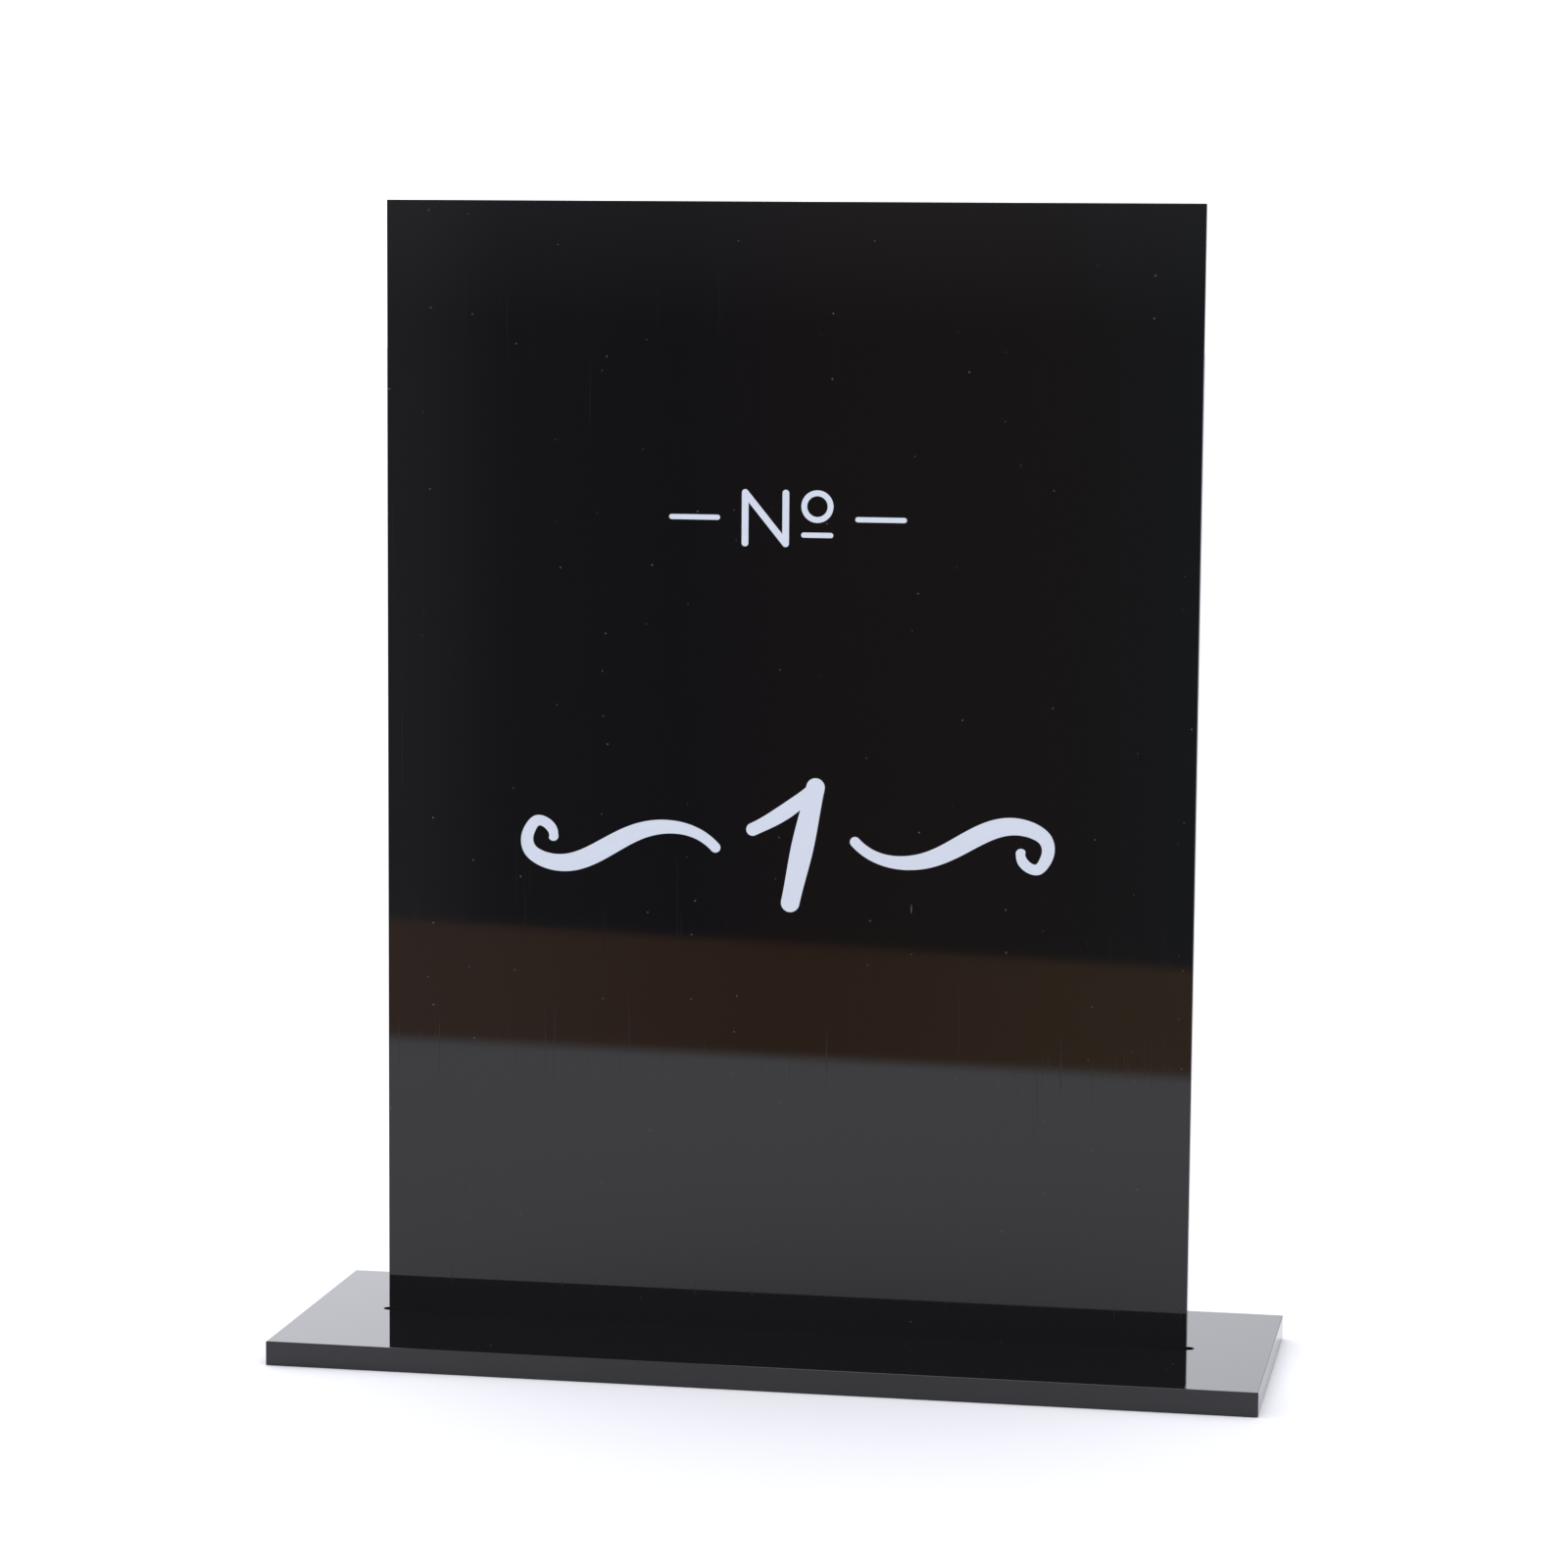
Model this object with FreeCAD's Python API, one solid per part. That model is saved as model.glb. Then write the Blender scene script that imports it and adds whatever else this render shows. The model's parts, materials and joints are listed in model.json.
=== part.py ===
# Table number holder: an upright acrylic panel pushed into the slot of a flat acrylic base,
# with a number sign and a figure in cut film on its front.
#
# Millimetres. The origin is the middle of the base's underside, +Z is up, and the lettered
# face looks towards -Y. Every piece is written to parts/ as one STEP file.

import FreeCAD, Part

import math
import os

Vector = FreeCAD.Vector

# Sign panel, a rectangle cut from thin sheet
PANEL_WIDTH = 127.0
PANEL_HEIGHT = 178.0
PANEL_THICKNESS = 2.0
PANEL_EDGE_ROUNDING = 0.15

# Base plate, a rectangle cut from thicker sheet
BASE_MARGIN = 13.0  # base that shows beyond each side of the panel
BASE_DEPTH = 51.0
BASE_THICKNESS = 3.8
BASE_EDGE_ROUNDING = 0.2

# Slot, milled with a cutter as wide as the slot, so its ends are half round
SLOT_DEPTH = 2.6
SLOT_SIDE_CLEARANCE = 0.05  # on each face of the panel
SLOT_END_CLEARANCE = 0.1  # from the panel's side to where the round end starts

# Cut film
FILM_THICKNESS = 0.08

# Number sign: capital N, a small raised o over a bar, and a short rule on each side
SIGN_DROP = 43.9  # panel's top edge to the top of the capital
CAPITAL_HEIGHT = 8.8
CAPITAL_WIDTH = 7.4
LETTER_STROKE = 1.05
SMALL_O_DIAMETER = 5.0
SMALL_O_STROKE = 0.9
BAR_HEIGHT = 1.9  # middle of the bar, above the capital's foot
LETTER_GAP = 1.9
RULE_LENGTH = 8.0
RULE_STROKE = 0.8
RULE_GAP = 3.4

# Figure, a leaning 1 drawn with a round brush
FIGURE_DROP = 35.6  # foot of the number sign to the top of the figure
FIGURE_HEIGHT = 21.0
FIGURE_LEAN = 12.0  # degrees
FIGURE_STROKE = 3.5
FIGURE_END_STROKE = 2.9
FLAG_REACH = 8.4  # top of the stem to the flag's outer end, sideways
FLAG_FALL = 6.8  # the same, downwards
FLAG_BOW = 0.7  # how far the flag hangs below its straight line
FLAG_STROKE = 2.4
FLAG_END_STROKE = 2.0
STEM_SHIFT = 2.8  # stem's middle right of the panel's middle, so that stem and flag balance

# Swash, a curl that runs out into a wave, one on each side of the figure
SWASH_GAP = 4.2  # the figure's stem to the middle of a swash's inner end
SWASH_LENGTH = 30.0
SWASH_HEIGHT = 7.6
SWASH_STROKE = 3.0
SWASH_END_STROKE = 1.6

# Places that follow from the sizes above
BASE_LENGTH = PANEL_WIDTH + 2 * BASE_MARGIN
SLOT_WIDTH = PANEL_THICKNESS + 2 * SLOT_SIDE_CLEARANCE
SLOT_STRAIGHT = PANEL_WIDTH + 2 * SLOT_END_CLEARANCE
PANEL_FOOT = BASE_THICKNESS - SLOT_DEPTH
PANEL_TOP = PANEL_FOOT + PANEL_HEIGHT
PANEL_FRONT = -PANEL_THICKNESS / 2
SIGN_FOOT = PANEL_TOP - SIGN_DROP - CAPITAL_HEIGHT
FIGURE_FOOT = SIGN_FOOT - FIGURE_DROP - FIGURE_HEIGHT
LEAN_REACH = math.tan(math.radians(FIGURE_LEAN)) * FIGURE_HEIGHT / 2
FIGURE_REACH = STEM_SHIFT + LEAN_REACH + FIGURE_STROKE / 2

FORWARD = Vector(0, -1, 0)
BRUSH_STEPS = 24  # places along a brush stroke where its width is set


def save(node, shape):
    """Write one sub-part, as single faces where the building left several in one plane."""
    shape.removeSplitter().exportStep(f"parts/{node}.step")


def centred_box(length, depth, foot, height):
    """A box standing at height foot, centred on the origin seen from above."""
    return Part.makeBox(length, depth, height, Vector(-length / 2, -depth / 2, foot))


def base_plate():
    """The foot: a rounded-edge plate with one blind slot across its middle."""
    plate = centred_box(BASE_LENGTH, BASE_DEPTH, 0, BASE_THICKNESS)
    plate = plate.makeFillet(BASE_EDGE_ROUNDING, plate.Edges)
    slot = centred_box(SLOT_STRAIGHT, SLOT_WIDTH, PANEL_FOOT, BASE_THICKNESS)
    for side in (-1, 1):
        end = Vector(side * SLOT_STRAIGHT / 2, 0, PANEL_FOOT)
        slot = slot.fuse(Part.makeCylinder(SLOT_WIDTH / 2, BASE_THICKNESS, end))
    return plate.cut(slot)


def sign_panel():
    """The upright panel, its foot on the floor of the slot."""
    panel = centred_box(PANEL_WIDTH, PANEL_THICKNESS, PANEL_FOOT, PANEL_HEIGHT)
    return panel.makeFillet(PANEL_EDGE_ROUNDING, panel.Edges)


def on_front(x, z):
    """The point of the panel's front face at x from its middle and z above the table."""
    return Vector(x, PANEL_FRONT, z)


def film(outline, holes=()):
    """Film of the stated thickness on the panel's front, inside a closed outline."""
    face = Part.Face([outline, *holes])
    return face.extrude(FORWARD * FILM_THICKNESS)


def straight_stroke(start, end, width):
    """Film along a straight line, with round ends centred on start and end."""
    along = (end - start).normalize()
    across = along.cross(FORWARD) * (width / 2)
    tip = along * (width / 2)
    outline = [
        Part.LineSegment(start + across, end + across),
        Part.Arc(end + across, end + tip, end - across),
        Part.LineSegment(end - across, start - across),
        Part.Arc(start - across, start - tip, start + across),
    ]
    return film(Part.Wire([edge.toShape() for edge in outline]))


def brush_stroke(guides, end_width, middle_width):
    """Film along a smooth line through the guides, widest halfway, with round ends."""
    line = Part.BSplineCurve()
    line.interpolate(guides)
    first, last = line.FirstParameter, line.LastParameter
    left, right = [], []
    for step in range(BRUSH_STEPS + 1):
        share = step / BRUSH_STEPS
        swell = math.sin(math.pi * share) ** 2
        half = (end_width + (middle_width - end_width) * swell) / 2
        place = first + share * (last - first)
        across = line.tangent(place)[0].cross(FORWARD) * half
        left.append(line.value(place) + across)
        right.append(line.value(place) - across)
    left_side = Part.BSplineCurve()
    left_side.interpolate(left)
    right_side = Part.BSplineCurve()
    right_side.interpolate(right)
    tail = line.value(first) - line.tangent(first)[0] * (end_width / 2)
    head = line.value(last) + line.tangent(last)[0] * (end_width / 2)
    edges = [
        left_side.toShape(),
        Part.Arc(left[-1], head, right[-1]).toShape(),
        right_side.toShape(),
        Part.Arc(right[0], tail, left[0]).toShape(),
    ]
    return film(Part.Wire(Part.sortEdges(edges)[0]))


def joined(strokes):
    """Strokes cut as one piece of film."""
    return strokes[0].multiFuse(strokes[1:])


def letter_n(left):
    """Capital N, its left stem centred LETTER_STROKE / 2 inside left."""
    inset = LETTER_STROKE / 2
    low, high = SIGN_FOOT + inset, SIGN_FOOT + CAPITAL_HEIGHT - inset
    near, far = left + inset, left + CAPITAL_WIDTH - inset
    corners = [on_front(near, low), on_front(near, high), on_front(far, low), on_front(far, high)]
    return joined([straight_stroke(a, b, LETTER_STROKE) for a, b in zip(corners, corners[1:])])


def letter_o(left):
    """Small raised o, level with the top of the capital."""
    radius = SMALL_O_DIAMETER / 2
    middle = on_front(left + radius, SIGN_FOOT + CAPITAL_HEIGHT - radius)
    outer = Part.makeCircle(radius, middle, FORWARD)
    inner = Part.makeCircle(radius - SMALL_O_STROKE, middle, FORWARD)
    return film(Part.Wire(outer), [Part.Wire(inner)])


def level_stroke(left, length, height, width):
    """Horizontal film stroke that starts at left, its round ends counted in its length."""
    start = on_front(left + width / 2, height)
    return straight_stroke(start, start + Vector(length - width, 0, 0), width)


def number_sign():
    """The capital, the raised o over its bar, and the rules, centred on the panel."""
    width = CAPITAL_WIDTH + LETTER_GAP + SMALL_O_DIAMETER
    left = -width / 2
    small_left = left + CAPITAL_WIDTH + LETTER_GAP
    middle = SIGN_FOOT + CAPITAL_HEIGHT / 2
    rule_start = width / 2 + RULE_GAP
    return {
        "letter_n": letter_n(left),
        "letter_o": letter_o(small_left),
        "numero_bar": level_stroke(small_left, SMALL_O_DIAMETER, SIGN_FOOT + BAR_HEIGHT, RULE_STROKE),
        "rule_left": level_stroke(-rule_start - RULE_LENGTH, RULE_LENGTH, middle, RULE_STROKE),
        "rule_right": level_stroke(rule_start, RULE_LENGTH, middle, RULE_STROKE),
    }


def figure_point(right, up):
    """A point of the figure, right of its leaning stem and up from its foot."""
    lean = LEAN_REACH * (2 * up / FIGURE_HEIGHT - 1)
    return on_front(STEM_SHIFT + right + lean, FIGURE_FOOT + up)


def numeral_one():
    """The leaning figure 1: a straight stem and a bowed flag from its top."""
    foot = FIGURE_END_STROKE / 2
    top = FIGURE_HEIGHT - foot
    stem = [figure_point(0, foot), figure_point(0, top)]
    flag = [
        figure_point(-FLAG_REACH, top - FLAG_FALL),
        figure_point(-FLAG_REACH / 2, top - FLAG_FALL / 2 - FLAG_BOW),
        figure_point(0, top),
    ]
    return joined([
        brush_stroke(stem, FIGURE_END_STROKE, FIGURE_STROKE),
        brush_stroke(flag, FLAG_END_STROKE, FLAG_STROKE),
    ])


def swash(side):
    """A curl at the outer end that runs inwards as a wave; the right one is the left one turned."""
    middle = FIGURE_FOOT + FIGURE_HEIGHT / 2
    inner = FIGURE_REACH + SWASH_GAP
    # across from the inner end, and up from the middle, as shares of the swash's size
    shape = [
        (0.86, 0.04),
        (0.95, 0.34),
        (1.0, -0.12),
        (0.86, -0.5),
        (0.62, -0.26),
        (0.38, 0.22),
        (0.16, 0.26),
        (0.0, -0.1),
    ]
    guides = [
        on_front(-side * (inner + across * SWASH_LENGTH), middle + side * up * SWASH_HEIGHT)
        for across, up in shape
    ]
    return brush_stroke(guides, SWASH_END_STROKE, SWASH_STROKE)


def main():
    os.makedirs("parts", exist_ok=True)
    save("base_plate", base_plate())
    save("sign_panel", sign_panel())
    for node, shape in number_sign().items():
        save(node, shape)
    save("numeral_one", numeral_one())
    save("swash_left", swash(1))
    save("swash_right", swash(-1))


main()
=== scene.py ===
"""Finishes and studio for a table number holder.

The holder is two sheets of black cast acrylic, a panel standing in the slot of a foot, with a
number sign, a figure 1 and two flourishes in white cut vinyl on the panel's front. Every shape
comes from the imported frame; this file gives each sheet and each piece of film its material, and
sets up a plain white studio. All lengths are metres.
"""

import json
import math

import bpy
from bpy.props import FloatProperty, FloatVectorProperty, PointerProperty
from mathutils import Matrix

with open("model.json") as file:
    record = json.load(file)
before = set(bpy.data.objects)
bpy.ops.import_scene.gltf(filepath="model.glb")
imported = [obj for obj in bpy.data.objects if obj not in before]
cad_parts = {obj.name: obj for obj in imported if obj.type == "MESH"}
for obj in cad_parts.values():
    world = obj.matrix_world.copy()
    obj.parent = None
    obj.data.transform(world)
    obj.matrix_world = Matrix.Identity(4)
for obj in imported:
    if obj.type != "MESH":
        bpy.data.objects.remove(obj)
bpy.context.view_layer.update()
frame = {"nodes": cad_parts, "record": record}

bl_info = {
    "name": "Table Number Holder",
    "version": (1, 0, 0),
    "blender": (4, 5, 0),
    "location": "3D View > Sidebar > Table Sign",
    "description": "Acrylic and vinyl finishes for a slotted table number holder, and its studio",
    "category": "Object",
}

MM = 0.001
FILM_SLOT = "white_film"

# Places of a Mix node's inputs, for numbers and for colours, and of its colour output
NUMBER_A, NUMBER_B = 2, 3
COLOUR_A, COLOUR_B = 6, 7
COLOUR_OUT = 2

# Cast acrylic. How much of the normal points through the sheet where the rounding of an edge
# begins to count as face, and where it all does
ACRYLIC_IOR = 1.49
FACE_TURN = (0.6, 0.95)

# Marks on cast acrylic. Swell and haze are at their real size. The ribs are really about 0.1 mm
# apart and the hairlines 0.02 mm wide, both too fine to show, and drawn coarser
SWELL_LENGTH = 45 * MM
SWELL_HEIGHT = 0.002 * MM
RIB_LENGTH = 12 * MM
RIB_HEIGHT = 0.002 * MM
HAZE_WIDTH = 28 * MM
HAIRLINE_WIDTH = 0.3 * MM
HAIRLINE_LENGTH = 26 * MM
HAIRLINE_BEARINGS = (24, 131)  # degrees
HAIRLINE_LEVELS = (0.8, 0.9)  # of the noise, where a hairline begins and where it is full
LINT_BEARING = 63  # degrees
LINT_STRETCH = 7
LINT_SPACING = 3  # dust spacings from one place for lint to the next
SPECK_FADE = 0.1 * MM  # from a speck's rim inwards to where it covers in full
EMPTY_SHARE = 0.4  # of the places where a speck may lie
DUST_COVER = 0.3  # how much of the pigment a speck hides

# How much roughness each mark adds where it is full
HAZE_DULLING = 0.02
HAIRLINE_DULLING = 0.1
DUST_DULLING = 0.5
RIB_DULLING = 0.02

# Cut film. The grain is really about 0.1 mm apart, too fine to show, and drawn coarser
VINYL_IOR = 1.53
CLOUD_WIDTH = 5 * MM
FILM_GRAIN_HEIGHT = 0.003 * MM
FILM_GRAIN_DULLING = 0.1  # spread of the roughness from the grain's hollows to its tops

# Painted reflection: a glowing card, seen only in the polish, stands in for what the polished front
# mirrors beyond the white paper, in metres in front of the holder: a brown strip, and behind it a
# dark studio. A pair is where each begins and where it is full
STRIP_START = (0.25, 0.264)
STRIP_END = (0.397, 0.413)
STRIP_SLANT = 0.115  # how much nearer its end comes, for each metre to the right
STRIP_TONES = ((0, "#D1AA95"), (0.5, "#BC8E6C"), (1, "#CBA881"))
DARK_TONES = (
    (0.02, "#8B8990"),
    (0.14, "#65656C"),
    (0.38, "#59555D"),
    (0.55, "#6F5F59"),
    (0.85, "#6F6561"),
    (1, "#6F7376"),
)
# Painted reflection: a brighter glow added to the dark part of the card higher up
HIGH_GLOW = "#76767C"
HIGH_GLOW_RISE = (0.12, 0.26)  # heights where the glow starts and is full
# The tones lie along bearings from a place to the right and behind the holder, written as
# metres to the right for each metre forwards
TONE_CENTRE = (0.165, 0.67)
TONE_BEARINGS = (-0.34, -0.155)
# Outline of the card that glows with the painted reflection: distance in front of the holder,
# height, left end and right end
REFLECTION_CARD_OUTLINE = (
    (0.25, 0.5 * MM, -0.168, 0.115),
    (3.2, 0.5 * MM, -1.21, 0.29),
    (3.3, 0.1, -1.24, 0.3),
    (3.3, 0.6, -1.24, 0.3),
)
REFLECTION_CARD_TURN = 3.5  # degrees

# Studio. The paper's tooth is really about 0.2 mm apart, too fine to show, and drawn coarser
FLOOR_RADIUS = 9
FLOOR_SIDES = 96
PAPER_TOOTH = 2 * MM
PAPER_TOOTH_HEIGHT = 0.02 * MM
PAPER_TOOTH_STRENGTH = 0.2
SKY_BEARING = 45  # degrees left of straight behind the holder, where the light is brightest
SKY_FALL_OFF = 4  # higher keeps the brightness closer round that bearing
SOFTBOX_SIZE = (1.4, 1.0)
SOFTBOX_PLACE = (0.45, -0.35, 1.25)
CAMERA_SENSOR = 36  # millimetres wide
CAMERA_RANGE = (0.01, 20)  # nearest and farthest that the camera sees


def linear(hex_colour):
    """The linear red, green and blue of an sRGB colour written as #RRGGBB."""
    shares = [int(hex_colour[start:start + 2], 16) / 255 for start in (1, 3, 5)]
    return [s / 12.92 if s <= 0.04045 else ((s + 0.055) / 1.055) ** 2.4 for s in shares]


def add(tree, kind, inputs=None, **settings):
    """Add a node, set its own settings, and give its inputs a value or another node's output."""
    node = tree.nodes.new("ShaderNode" + kind)
    for name, value in settings.items():
        setattr(node, name, value)
    for name, value in (inputs or {}).items():
        if isinstance(value, bpy.types.NodeSocket):
            tree.links.new(value, node.inputs[name])
        else:
            node.inputs[name].default_value = value
    return node


def new_material(name):
    """An empty node material, its tree, and its output node."""
    material = bpy.data.materials.new(name)
    material.use_nodes = True
    tree = material.node_tree
    tree.nodes.clear()
    return material, tree, add(tree, "OutputMaterial")


def dress(node, material):
    """Give a CAD node one material."""
    slots = frame["nodes"][node].data.materials
    slots.clear()
    slots.append(material)


def nodes_in_slot(slot):
    """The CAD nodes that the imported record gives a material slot, in its order."""
    return [part["node"] for part in frame["record"]["subparts"] if part["material_slot"] == slot]


class SheetFinish(bpy.types.PropertyGroup):
    """Black cast acrylic, which both sheets are made of."""

    face_colour: FloatVectorProperty(
        name="Face colour",
        description="Pigment seen through the polished faces",
        subtype="COLOR",
        min=0,
        max=1,
        default=linear("#09090B"),
    )
    edge_colour: FloatVectorProperty(
        name="Edge colour",
        description="Pigment laid bare where the sheet is cut",
        subtype="COLOR",
        min=0,
        max=1,
        default=linear("#1A1A1D"),
    )
    dust_colour: FloatVectorProperty(
        name="Dust colour",
        description="Specks of dust and lint lying on the polish",
        subtype="COLOR",
        min=0,
        max=1,
        default=linear("#8C8C90"),
    )
    face_roughness: FloatProperty(
        name="Face roughness",
        description="Roughness of the polished faces",
        subtype="FACTOR",
        min=0,
        max=1,
        default=0.02,
    )
    edge_roughness: FloatProperty(
        name="Edge roughness",
        description="Roughness of the cut edges",
        subtype="FACTOR",
        min=0,
        max=1,
        default=0.02,
    )
    dust_size: FloatProperty(
        name="Dust size",
        description="Diameter of the largest speck",
        unit="LENGTH",
        default=0.34 * MM,
    )
    dust_spacing: FloatProperty(
        name="Dust spacing",
        description="Distance between places where a speck may lie",
        unit="LENGTH",
        default=7 * MM,
    )
    rib_spacing: FloatProperty(
        name="Rib spacing",
        description="Distance between the ribs that the laser leaves across an edge",
        unit="LENGTH",
        default=0.45 * MM,
    )


class FilmFinish(bpy.types.PropertyGroup):
    """White calendered vinyl, which the lettering is cut from."""

    colour: FloatVectorProperty(
        name="Film colour",
        description="White of the film",
        subtype="COLOR",
        min=0,
        max=1,
        default=linear("#D3DAE3"),
    )
    thin_colour: FloatVectorProperty(
        name="Thin colour",
        description="White of the film where the black behind it shows through a little",
        subtype="COLOR",
        min=0,
        max=1,
        default=linear("#CED4E0"),
    )
    roughness: FloatProperty(
        name="Film roughness",
        description="Roughness of the satin surface",
        subtype="FACTOR",
        min=0,
        max=1,
        default=0.38,
    )
    grain: FloatProperty(
        name="Film grain",
        description="Distance between the bumps that the rollers press into the film",
        unit="LENGTH",
        default=0.3 * MM,
    )


class Studio(bpy.types.PropertyGroup):
    """Floor, light and camera round the holder."""

    floor_colour: FloatVectorProperty(
        name="Floor colour",
        description="White of the floor",
        subtype="COLOR",
        min=0,
        max=1,
        default=linear("#E9E9EA"),
    )
    sky_colour: FloatVectorProperty(
        name="Sky colour",
        description="Tint of the light that comes from all round",
        subtype="COLOR",
        min=0,
        max=1,
        default=linear("#F6F7FF"),
    )
    front_light: FloatProperty(
        name="Front light",
        description="Brightness of the studio in front of the holder",
        min=0,
        default=0.6,
    )
    back_light: FloatProperty(
        name="Back light",
        description="Brightness of the studio behind the holder, to its left",
        min=0,
        default=2.39,
    )
    top_light: FloatProperty(
        name="Top light",
        description="Brightness that the studio gains towards its ceiling",
        min=0,
        default=1.0,
    )
    lamp_power: FloatProperty(
        name="Lamp power",
        description="Power of the softbox overhead",
        unit="POWER",
        min=0,
        default=5,
    )
    camera_place: FloatVectorProperty(
        name="Camera place",
        description="Where the camera stands, from the middle of the foot's underside",
        subtype="TRANSLATION",
        default=(0.12336, -0.67877, 0.16861),
    )
    camera_turn: FloatVectorProperty(
        name="Camera turn",
        description="Which way the camera looks",
        subtype="EULER",
        default=[math.radians(angle) for angle in (83.479, -0.439, 10.385)],
    )
    camera_lens: FloatProperty(
        name="Camera lens",
        description="Focal length on a full-frame sensor",
        unit="CAMERA",
        default=102.99,
    )


def laid_flat(tree, thin_axis):
    """Places on the sheet, laid down so that its faces lie in X and Y whichever way it stands."""
    place = add(tree, "TexCoord").outputs["Object"]
    tip = math.radians(90) if thin_axis == "Y" else 0
    return add(tree, "Mapping", {"Vector": place, "Rotation": (tip, 0, 0)}).outputs["Vector"]


def face_share(tree, thin_axis):
    """1 on the polished faces, 0 on the cut edges."""
    normal = add(tree, "SeparateXYZ", {"Vector": add(tree, "TexCoord").outputs["Normal"]})
    through = add(tree, "Math", {0: normal.outputs[thin_axis]}, operation="ABSOLUTE")
    rounding, flat = FACE_TURN
    share = add(
        tree, "MapRange", {"Value": through.outputs[0], "From Min": rounding, "From Max": flat}
    )
    return share.outputs["Result"]


def laser_ribs(tree, flat, finish):
    """Ribs that the laser leaves across the sheet's edges."""
    spacing = (1 / finish.rib_spacing, 1 / finish.rib_spacing, 1 / RIB_LENGTH)
    lay = add(tree, "Mapping", {"Vector": flat, "Scale": spacing})
    ribs = add(tree, "TexNoise", {"Vector": lay.outputs["Vector"], "Scale": 1, "Detail": 2})
    return ribs.outputs["Fac"]


def sheet_relief(tree, flat, face, ribs):
    """The sheet's normal: the swell of the glass it was cast on, and ribs on its edges."""
    swell = add(tree, "TexNoise", {"Vector": flat, "Scale": 1 / SWELL_LENGTH, "Detail": 1})
    swelling = add(
        tree, "Bump", {"Strength": 1, "Distance": SWELL_HEIGHT, "Height": swell.outputs["Fac"]}
    )
    edge = add(tree, "Math", {0: 1, 1: face}, operation="SUBTRACT")
    height = add(tree, "Math", {0: ribs, 1: edge.outputs[0]}, operation="MULTIPLY")
    ribbed = add(
        tree,
        "Bump",
        {
            "Strength": 1,
            "Distance": RIB_HEIGHT,
            "Height": height.outputs[0],
            "Normal": swelling.outputs["Normal"],
        },
    )
    return ribbed.outputs["Normal"]


def wiping_hairlines(tree, flat):
    """Hairlines that wiping leaves in each direction, 1 on a line."""
    faint, full = HAIRLINE_LEVELS
    hairlines = []
    for bearing in HAIRLINE_BEARINGS:
        lay = add(
            tree,
            "Mapping",
            {
                "Vector": flat,
                "Rotation": (0, 0, math.radians(bearing)),
                "Scale": (1 / HAIRLINE_WIDTH, 1 / HAIRLINE_LENGTH, 1),
            },
        )
        streak = add(
            tree,
            "TexNoise",
            {"Vector": lay.outputs["Vector"], "Scale": 1, "Detail": 0},
            noise_dimensions="2D",
        )
        line = add(
            tree, "MapRange", {"Value": streak.outputs["Fac"], "From Min": faint, "From Max": full}
        )
        hairlines.append(line.outputs["Result"])
    return hairlines


def dust_specks(tree, flat, finish):
    """Round specks, and lint as specks stretched along one bearing: 1 on a speck."""
    specks = []
    lint_spacing = LINT_SPACING * finish.dust_spacing
    for bearing, stretch, spacing in (
        (0, 1, finish.dust_spacing),
        (LINT_BEARING, LINT_STRETCH, lint_spacing),
    ):
        lay = add(
            tree,
            "Mapping",
            {
                "Vector": flat,
                "Rotation": (0, 0, math.radians(bearing)),
                "Scale": (1 / spacing, 1 / (spacing * stretch), 1),
            },
        )
        cell = add(
            tree,
            "TexVoronoi",
            {"Vector": lay.outputs["Vector"], "Scale": 1, "Randomness": 1},
            voronoi_dimensions="2D",
        )
        # Some cells stay empty, and the others hold a speck of any size up to the largest
        chance = add(tree, "SeparateColor", {"Color": cell.outputs["Color"]})
        radius = add(
            tree,
            "MapRange",
            {
                "Value": chance.outputs["Red"],
                "From Min": EMPTY_SHARE,
                "From Max": 1,
                "To Min": 0,
                "To Max": finish.dust_size / 2 / spacing,
            },
        )
        inside = add(
            tree,
            "Math",
            {0: radius.outputs["Result"], 1: cell.outputs["Distance"]},
            operation="SUBTRACT",
        )
        speck = add(
            tree,
            "MapRange",
            {"Value": inside.outputs[0], "From Min": 0, "From Max": SPECK_FADE / spacing},
        )
        specks.append(speck.outputs["Result"])
    return add(tree, "Math", {0: specks[0], 1: specks[1]}, operation="MAXIMUM").outputs[0]


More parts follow.
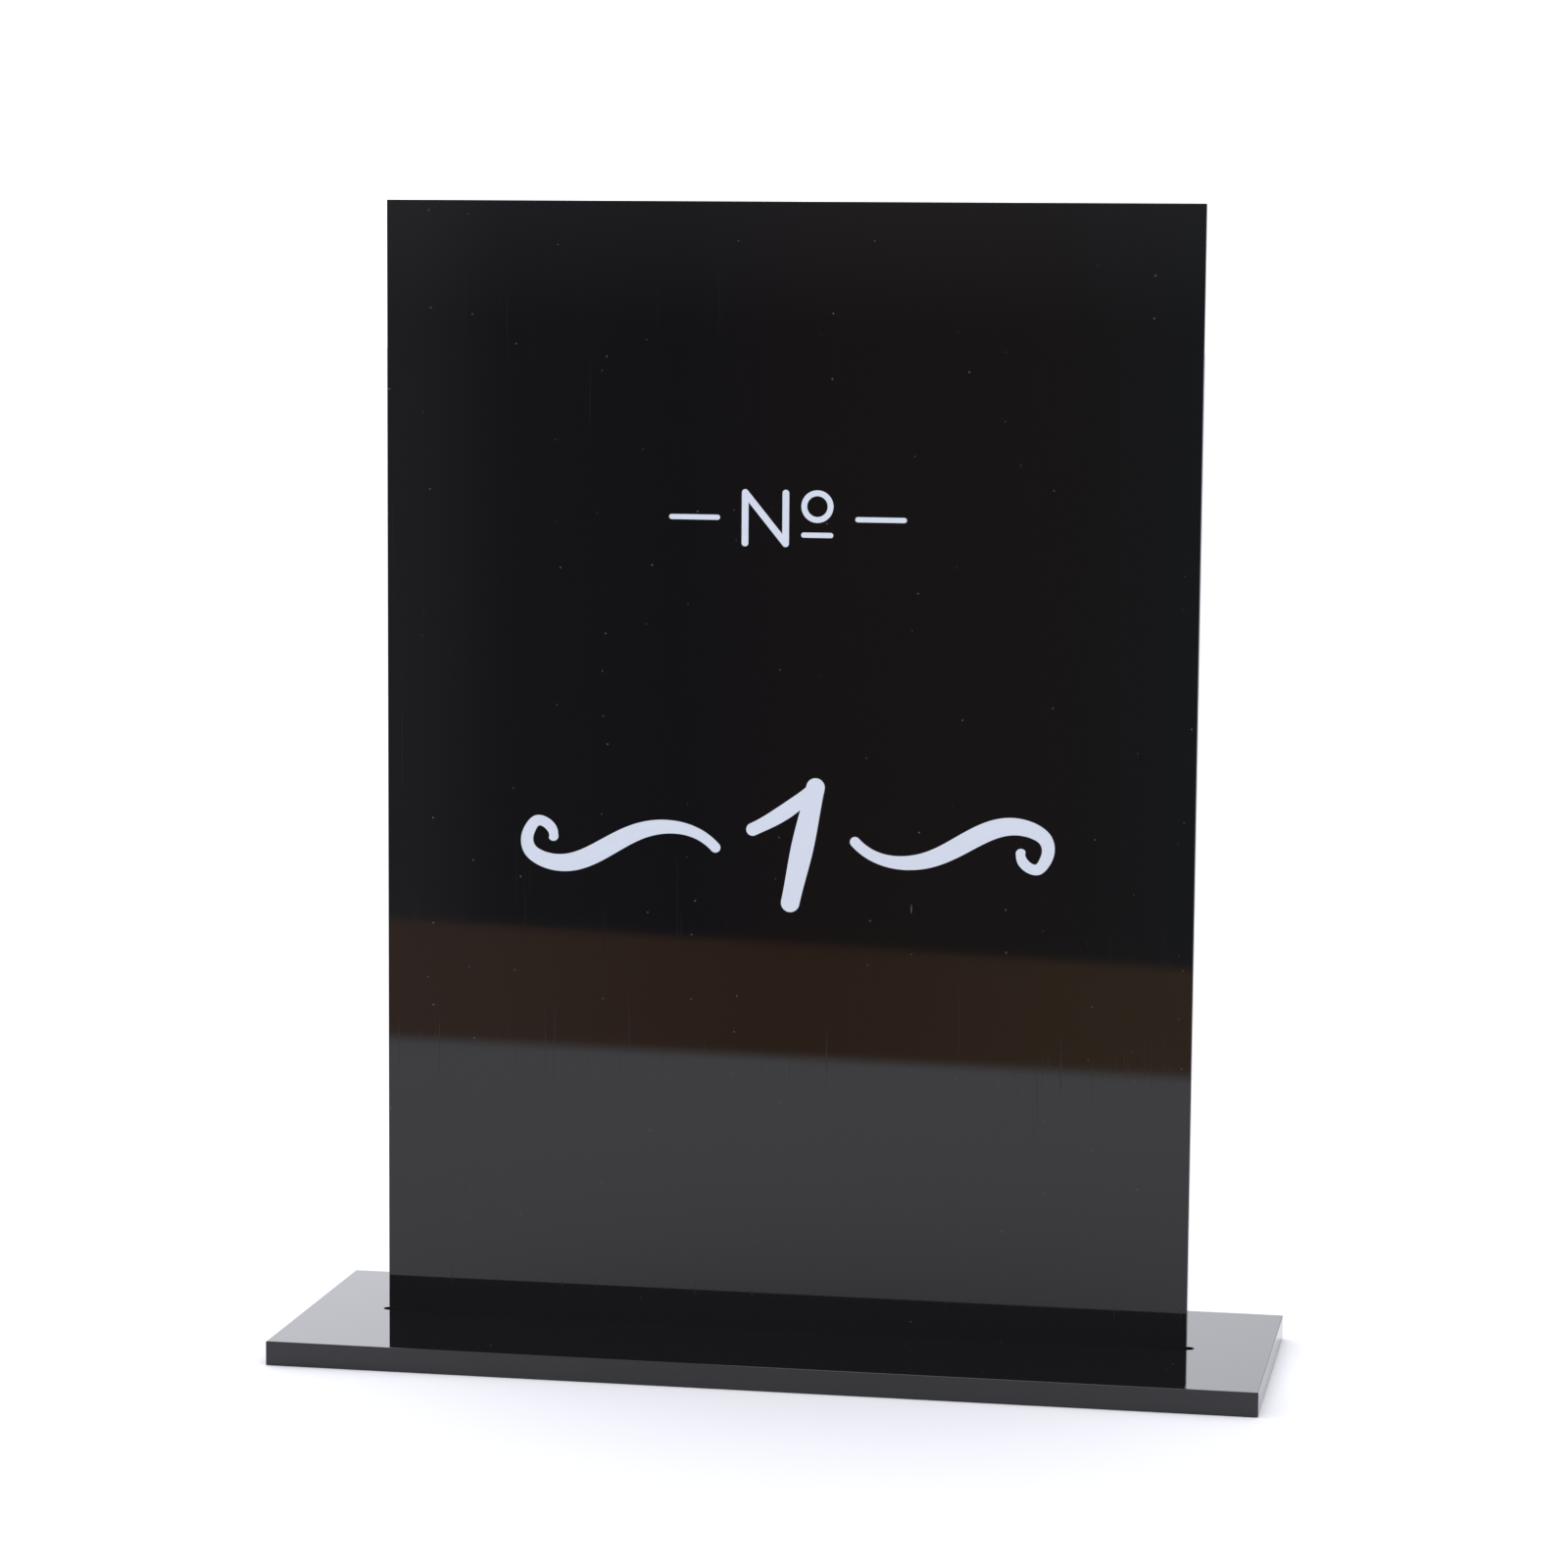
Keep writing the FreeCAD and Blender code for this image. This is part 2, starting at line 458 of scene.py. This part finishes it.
def acrylic(name, thin_axis, finish):
    """Cast acrylic sheet, black all through.

    Cast between two sheets of glass, so its faces are a mirror with only the faintest swell, and
    what marks them is haze, hairlines from wiping, dust and lint. Its edges are laser cut: a
    little greyer, and ribbed across the sheet. thin_axis is the letter of the axis through the
    sheet.
    """
    material, tree, output = new_material(name)
    flat = laid_flat(tree, thin_axis)
    face = face_share(tree, thin_axis)
    ribs = laser_ribs(tree, flat, finish)
    relief = sheet_relief(tree, flat, face, ribs)
    haze = add(tree, "TexNoise", {"Vector": flat, "Scale": 1 / HAZE_WIDTH, "Detail": 3})
    hairlines = wiping_hairlines(tree, flat)
    dust = dust_specks(tree, flat, finish)
    dust = add(tree, "Math", {0: dust, 1: face}, operation="MULTIPLY").outputs[0]

    # Each mark dulls the polish in its own measure
    face_roughness = finish.face_roughness
    marks = [
        (haze.outputs["Fac"], HAZE_DULLING),
        *[(hairline, HAIRLINE_DULLING) for hairline in hairlines],
        (dust, DUST_DULLING),
    ]
    for mark, dulling in marks:
        duller = add(
            tree, "Math", {0: mark, 1: dulling, 2: face_roughness}, operation="MULTIPLY_ADD"
        )
        face_roughness = duller.outputs[0]
    edge_roughness = add(
        tree, "Math", {0: ribs, 1: RIB_DULLING, 2: finish.edge_roughness}, operation="MULTIPLY_ADD"
    )
    roughness = add(
        tree,
        "Mix",
        {"Factor": face, NUMBER_A: edge_roughness.outputs[0], NUMBER_B: face_roughness},
    )

    pigment = add(
        tree,
        "Mix",
        {"Factor": face, COLOUR_A: (*finish.edge_colour, 1), COLOUR_B: (*finish.face_colour, 1)},
        data_type="RGBA",
    )
    cover = add(tree, "Math", {0: dust, 1: DUST_COVER}, operation="MULTIPLY")
    colour = add(
        tree,
        "Mix",
        {
            "Factor": cover.outputs[0],
            COLOUR_A: pigment.outputs[COLOUR_OUT],
            COLOUR_B: (*finish.dust_colour, 1),
        },
        data_type="RGBA",
    )
    shader = add(
        tree,
        "BsdfPrincipled",
        {
            "Base Color": colour.outputs[COLOUR_OUT],
            "Roughness": roughness.outputs[0],
            "IOR": ACRYLIC_IOR,
            "Normal": relief,
        },
    )
    tree.links.new(shader.outputs["BSDF"], output.inputs["Surface"])
    return material


def vinyl(name, finish):
    """White calendered vinyl film, cut by a knife plotter.

    The rollers leave a fine satin grain. The film hides the black behind it almost completely,
    so its white is even, with only a faint cloudiness.
    """
    material, tree, output = new_material(name)
    place = add(tree, "TexCoord").outputs["Object"]
    cloud = add(tree, "TexNoise", {"Vector": place, "Scale": 1 / CLOUD_WIDTH, "Detail": 2})
    grain = add(tree, "TexNoise", {"Vector": place, "Scale": 1 / finish.grain, "Detail": 1})
    colour = add(
        tree,
        "Mix",
        {
            "Factor": cloud.outputs["Fac"],
            COLOUR_A: (*finish.colour, 1),
            COLOUR_B: (*finish.thin_colour, 1),
        },
        data_type="RGBA",
    )
    smoothest = finish.roughness - FILM_GRAIN_DULLING / 2
    roughness = add(
        tree,
        "Math",
        {0: grain.outputs["Fac"], 1: FILM_GRAIN_DULLING, 2: smoothest},
        operation="MULTIPLY_ADD",
    )
    bump = add(
        tree, "Bump", {"Strength": 1, "Distance": FILM_GRAIN_HEIGHT, "Height": grain.outputs["Fac"]}
    )
    shader = add(
        tree,
        "BsdfPrincipled",
        {
            "Base Color": colour.outputs[COLOUR_OUT],
            "Roughness": roughness.outputs[0],
            "IOR": VINYL_IOR,
            "Normal": bump.outputs["Normal"],
        },
    )
    tree.links.new(shader.outputs["BSDF"], output.inputs["Surface"])
    return material


def floor_paper(studio):
    """Matt white background paper, rolled out flat."""
    material, tree, output = new_material("studio_paper")
    place = add(tree, "TexCoord").outputs["Object"]
    tooth = add(tree, "TexNoise", {"Vector": place, "Scale": 1 / PAPER_TOOTH, "Detail": 2})
    bump = add(
        tree,
        "Bump",
        {
            "Strength": PAPER_TOOTH_STRENGTH,
            "Distance": PAPER_TOOTH_HEIGHT,
            "Height": tooth.outputs["Fac"],
        },
    )
    shader = add(
        tree,
        "BsdfDiffuse",
        {"Color": (*studio.floor_colour, 1), "Normal": bump.outputs["Normal"]},
    )
    tree.links.new(shader.outputs["BSDF"], output.inputs["Surface"])
    return material


def painted_reflection_material():
    """A card that glows with a painted reflection of what the polish mirrors: clear, then a brown
    strip, then dark.
    """
    material, tree, output = new_material("studio_painted_reflection")
    place = add(tree, "SeparateXYZ", {"Vector": add(tree, "TexCoord").outputs["Object"]})
    across = place.outputs["X"]
    away = add(tree, "Math", {0: place.outputs["Y"], 1: -1}, operation="MULTIPLY").outputs[0]

    start, started = STRIP_START
    near = add(tree, "MapRange", {"Value": away, "From Min": start, "From Max": started})
    slanted = add(tree, "Math", {0: across, 1: STRIP_SLANT, 2: away}, operation="MULTIPLY_ADD")
    end, ended = STRIP_END
    far = add(tree, "MapRange", {"Value": slanted.outputs[0], "From Min": end, "From Max": ended})

    centre_right, centre_behind = TONE_CENTRE
    run = add(tree, "Math", {0: across, 1: centre_right}, operation="SUBTRACT")
    reach = add(tree, "Math", {0: away, 1: centre_behind}, operation="ADD")
    bearing = add(tree, "Math", {0: run.outputs[0], 1: reach.outputs[0]}, operation="DIVIDE")
    left, right = TONE_BEARINGS
    along = add(tree, "MapRange", {"Value": bearing.outputs[0], "From Min": left, "From Max": right})
    tones = []
    for stops in (STRIP_TONES, DARK_TONES):
        ramp = add(tree, "ValToRGB", {"Fac": along.outputs["Result"]})
        elements = ramp.color_ramp.elements
        # A new ramp has two stops, and those added here are placed with them below
        for _ in stops[2:]:
            elements.new(0.5)
        for element, (position, tone) in zip(elements, stops):
            element.position = position
            element.color = (*linear(tone), 1)
        tones.append(ramp.outputs["Color"])
    strip, dark = tones

    low, high = HIGH_GLOW_RISE
    rise = add(tree, "MapRange", {"Value": place.outputs["Z"], "From Min": low, "From Max": high})
    dark = add(
        tree,
        "Mix",
        {"Factor": rise.outputs["Result"], COLOUR_A: dark, COLOUR_B: (*linear(HIGH_GLOW), 1)},
        data_type="RGBA",
        blend_type="ADD",
    )
    colour = add(
        tree,
        "Mix",
        {"Factor": far.outputs["Result"], COLOUR_A: strip, COLOUR_B: dark.outputs[COLOUR_OUT]},
        data_type="RGBA",
    )
    glow = add(tree, "Emission", {"Color": colour.outputs[COLOUR_OUT], "Strength": 1})
    clear = add(tree, "BsdfTransparent")
    shown = add(
        tree,
        "MixShader",
        {"Fac": near.outputs["Result"], 1: clear.outputs["BSDF"], 2: glow.outputs["Emission"]},
    )
    tree.links.new(shown.outputs["Shader"], output.inputs["Surface"])
    return material


def mesh_object(name, points, faces, material):
    """A mesh object in the scene, with one material."""
    mesh = bpy.data.meshes.new(name)
    mesh.from_pydata(points, [], faces)
    mesh.materials.append(material)
    made = bpy.data.objects.new(name, mesh)
    bpy.context.scene.collection.objects.link(made)
    return made


def make_floor(studio):
    """A round white floor under the holder, wide enough to reach every horizon."""
    angles = [2 * math.pi * side / FLOOR_SIDES for side in range(FLOOR_SIDES)]
    rim = [(FLOOR_RADIUS * math.cos(a), FLOOR_RADIUS * math.sin(a), 0) for a in angles]
    floor = mesh_object("studio_floor", rim, [list(range(FLOOR_SIDES))], floor_paper(studio))


def make_painted_reflection_card():
    """A glowing card in front of the holder, a painted reflection that only its polish mirrors:
    along the floor, then upright.

    It is only as wide as the panel mirrors it from the front, so that it stays out of other views.
    """
    points = [(x, -away, height) for away, height, *ends in REFLECTION_CARD_OUTLINE for x in ends]
    faces = [(2 * k, 2 * k + 1, 2 * k + 3, 2 * k + 2) for k in range(len(REFLECTION_CARD_OUTLINE) - 1)]
    reflection_card = mesh_object("studio_painted_reflection", points, faces, painted_reflection_material())
    reflection_card.rotation_euler.z = math.radians(REFLECTION_CARD_TURN)
    # Seen only in reflections: the card's glow is a painted reflection, not a lamp
    reflection_card.visible_camera = False
    reflection_card.visible_diffuse = False
    reflection_card.visible_transmission = False
    reflection_card.visible_volume_scatter = False
    reflection_card.visible_shadow = False


def make_sky(studio):
    """White studio light from all round, brighter behind the holder than in front."""
    world = bpy.data.worlds.new("studio_sky")
    bpy.context.scene.world = world
    world.use_nodes = True
    tree = world.node_tree
    tree.nodes.clear()
    bearing = math.radians(SKY_BEARING)
    towards_back = (-math.sin(bearing), math.cos(bearing), 0)
    place = add(tree, "TexCoord").outputs["Generated"]
    back = add(tree, "VectorMath", {0: place, 1: towards_back}, operation="DOT_PRODUCT")
    share = add(tree, "MapRange", {"Value": back.outputs["Value"], "From Min": -1, "From Max": 1})
    share = add(tree, "Math", {0: share.outputs[0], 1: SKY_FALL_OFF}, operation="POWER")
    level = add(
        tree,
        "MapRange",
        {"Value": share.outputs[0], "To Min": studio.front_light, "To Max": studio.back_light},
    )
    height = add(tree, "SeparateXYZ", {"Vector": place}).outputs["Z"]
    height = add(tree, "Math", {0: height, 1: 2}, operation="POWER")
    strength = add(
        tree,
        "Math",
        {0: height.outputs[0], 1: studio.top_light, 2: level.outputs["Result"]},
        operation="MULTIPLY_ADD",
    )
    background = add(
        tree,
        "Background",
        {"Color": (*studio.sky_colour, 1), "Strength": strength.outputs[0]},
    )
    output = add(tree, "OutputWorld")
    tree.links.new(background.outputs["Background"], output.inputs["Surface"])


def make_softbox(studio):
    """A wide softbox overhead, to the right and a little in front of the holder."""
    light = bpy.data.lights.new("studio_softbox", "AREA")
    light.shape = "RECTANGLE"
    light.size, light.size_y = SOFTBOX_SIZE
    light.energy = studio.lamp_power
    lamp = bpy.data.objects.new("studio_softbox", light)
    lamp.location = SOFTBOX_PLACE
    bpy.context.scene.collection.objects.link(lamp)


def make_camera(studio):
    """A long lens about as high as the panel's top, in front of it and a little to its right."""
    lens = bpy.data.cameras.new("studio_camera")
    lens.sensor_width = CAMERA_SENSOR
    lens.lens = studio.camera_lens
    lens.clip_start, lens.clip_end = CAMERA_RANGE
    camera = bpy.data.objects.new("studio_camera", lens)
    camera.location = studio.camera_place
    camera.rotation_euler = studio.camera_turn
    bpy.context.scene.collection.objects.link(camera)
    bpy.context.scene.camera = camera


class TABLESIGN_OT_foot(bpy.types.Operator):
    """Give the slotted foot its black acrylic"""

    bl_idname = "tablesign.foot"
    bl_label = "Finish Foot"

    def execute(self, context):
        dress("base_plate", acrylic("cast_acrylic_black_foot", "Z", context.scene.sheet_finish))
        return {"FINISHED"}


class TABLESIGN_OT_panel(bpy.types.Operator):
    """Give the upright panel its black acrylic"""

    bl_idname = "tablesign.panel"
    bl_label = "Finish Panel"

    def execute(self, context):
        dress("sign_panel", acrylic("cast_acrylic_black_panel", "Y", context.scene.sheet_finish))
        return {"FINISHED"}


class TABLESIGN_OT_lettering(bpy.types.Operator):
    """Give every piece of cut film its white vinyl"""

    bl_idname = "tablesign.lettering"
    bl_label = "Finish Lettering"

    def execute(self, context):
        film = vinyl("calendered_vinyl_white", context.scene.film_finish)
        for node in nodes_in_slot(FILM_SLOT):
            dress(node, film)
        return {"FINISHED"}


class TABLESIGN_OT_studio(bpy.types.Operator):
    """Set up the floor, the light and the camera"""

    bl_idname = "tablesign.studio"
    bl_label = "Set Up Studio"

    def execute(self, context):
        studio = context.scene.sign_studio
        make_floor(studio)
        # A glowing card that paints the reflection in the polish
        make_painted_reflection_card()
        make_sky(studio)
        make_softbox(studio)
        make_camera(studio)
        context.scene.view_settings.view_transform = "Standard"
        return {"FINISHED"}


class TABLESIGN_PT_sidebar(bpy.types.Panel):
    """Every setting of the finishes and the studio, with the operators that use them"""

    bl_idname = "TABLESIGN_PT_sidebar"
    bl_label = "Table Number Holder"
    bl_space_type = "VIEW_3D"
    bl_region_type = "UI"
    bl_category = "Table Sign"

    def draw(self, context):
        groups = (
            (context.scene.sheet_finish, ("tablesign.foot", "tablesign.panel")),
            (context.scene.film_finish, ("tablesign.lettering",)),
            (context.scene.sign_studio, ("tablesign.studio",)),
        )
        for settings, operators in groups:
            box = self.layout.box()
            for name in settings.__annotations__:
                box.prop(settings, name)
            for operator in operators:
                box.operator(operator)


CLASSES = (
    SheetFinish,
    FilmFinish,
    Studio,
    TABLESIGN_OT_foot,
    TABLESIGN_OT_panel,
    TABLESIGN_OT_lettering,
    TABLESIGN_OT_studio,
    TABLESIGN_PT_sidebar,
)


def register():
    for cls in CLASSES:
        bpy.utils.register_class(cls)
    bpy.types.Scene.sheet_finish = PointerProperty(type=SheetFinish)
    bpy.types.Scene.film_finish = PointerProperty(type=FilmFinish)
    bpy.types.Scene.sign_studio = PointerProperty(type=Studio)


def unregister():
    del bpy.types.Scene.sign_studio
    del bpy.types.Scene.film_finish
    del bpy.types.Scene.sheet_finish
    for cls in reversed(CLASSES):
        bpy.utils.unregister_class(cls)


def main():
    register()
    bpy.ops.tablesign.foot()
    bpy.ops.tablesign.panel()
    bpy.ops.tablesign.lettering()
    bpy.ops.tablesign.studio()


if __name__ == "__main__":
    main()
